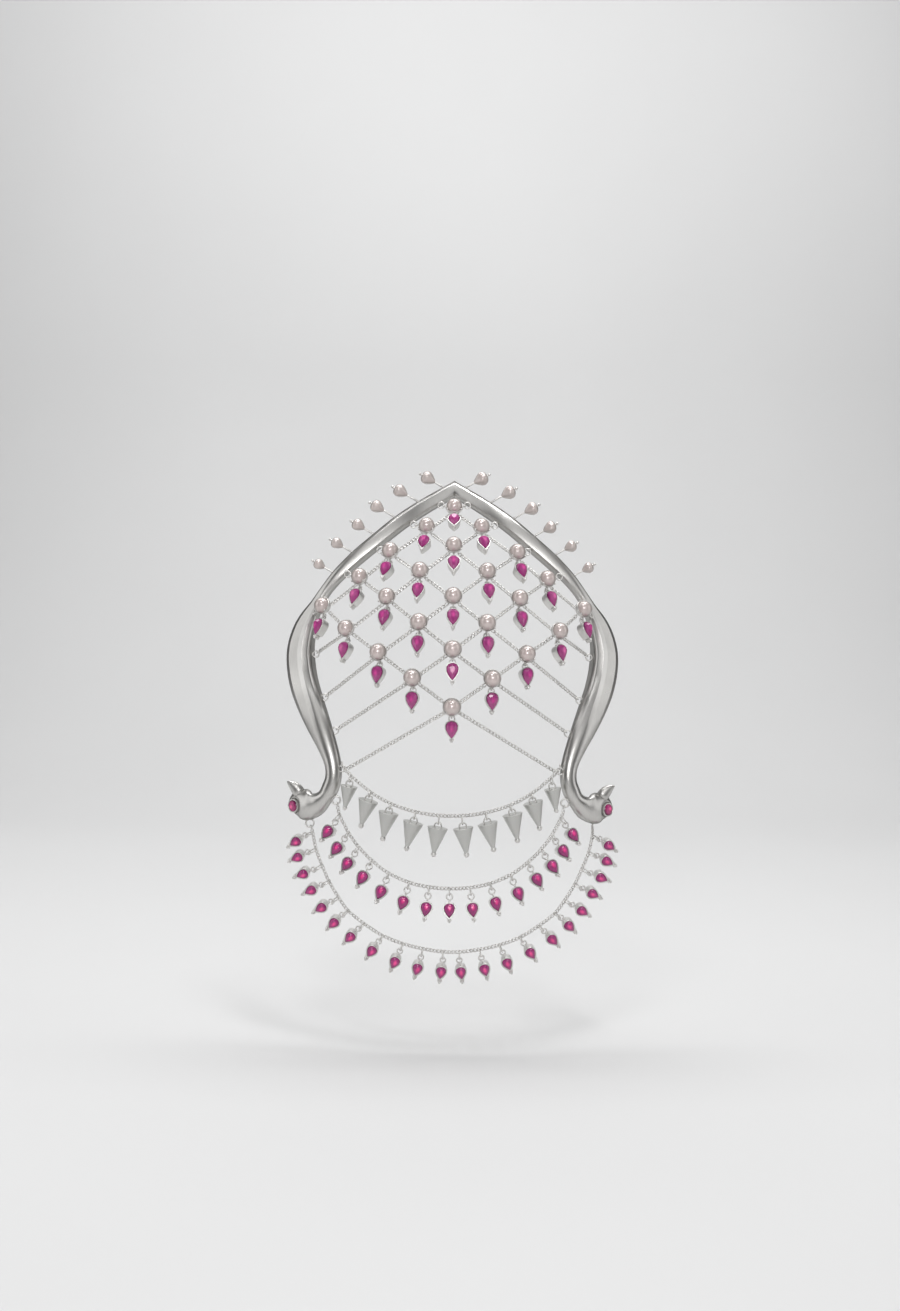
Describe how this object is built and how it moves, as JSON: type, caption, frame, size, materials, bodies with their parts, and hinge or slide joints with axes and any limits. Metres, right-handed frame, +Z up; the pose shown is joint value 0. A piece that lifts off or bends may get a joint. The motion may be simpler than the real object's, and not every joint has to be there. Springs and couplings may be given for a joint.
{
  "type": "hair harness",
  "caption": "Silver peaked hair ornament with two long-necked bird ends, a draped net of pearls and pear-cut rubies, and chain swags of spikes and ruby drops below.",
  "frame": {"origin": "middle of the solder pad at the back of the frame's peak, where the hair pin's foot meets it", "axes": "+Z up, -Y out of the worn face towards the viewer, +X to the viewer's right"},
  "size_m": [0.125, 0.0885, 0.1872],
  "materials": {
    "silver": "satin polished silver",
    "chain_silver": "polished silver",
    "setting_silver": "satin silver",
    "spike_silver": "brushed matte silver",
    "pearl": "pearl lustre",
    "ruby": "polished stone"
  },
  "bodies": {
    "root": {"frame": "silver", "hair_pin": "silver", "left_eye": "ruby", "right_eye": "ruby", "net_chains": "chain_silver", "net_settings": "setting_silver", "net_rubies": "ruby", "spike_chain": "chain_silver", "spikes": "spike_silver", "middle_chain": "chain_silver", "middle_settings": "setting_silver", "middle_rubies": "ruby", "outer_chain": "chain_silver", "outer_settings": "setting_silver", "outer_rubies": "ruby", "left_bud_1": "pearl", "left_bud_2": "pearl", "left_bud_3": "pearl", "left_bud_4": "pearl", "left_bud_5": "pearl", "left_bud_6": "pearl", "right_bud_1": "pearl", "right_bud_2": "pearl", "right_bud_3": "pearl", "right_bud_4": "pearl", "right_bud_5": "pearl", "right_bud_6": "pearl", "pearl_11": "pearl", "pearl_12": "pearl", "pearl_13": "pearl", "pearl_14": "pearl", "pearl_15": "pearl", "pearl_21": "pearl", "pearl_22": "pearl", "pearl_23": "pearl", "pearl_24": "pearl", "pearl_25": "pearl", "pearl_31": "pearl", "pearl_32": "pearl", "pearl_33": "pearl", "pearl_34": "pearl", "pearl_35": "pearl", "pearl_41": "pearl", "pearl_42": "pearl", "pearl_43": "pearl", "pearl_44": "pearl", "pearl_45": "pearl", "pearl_51": "pearl", "pearl_52": "pearl", "pearl_53": "pearl", "pearl_54": "pearl", "pearl_55": "pearl"}
  },
  "joints": []
}
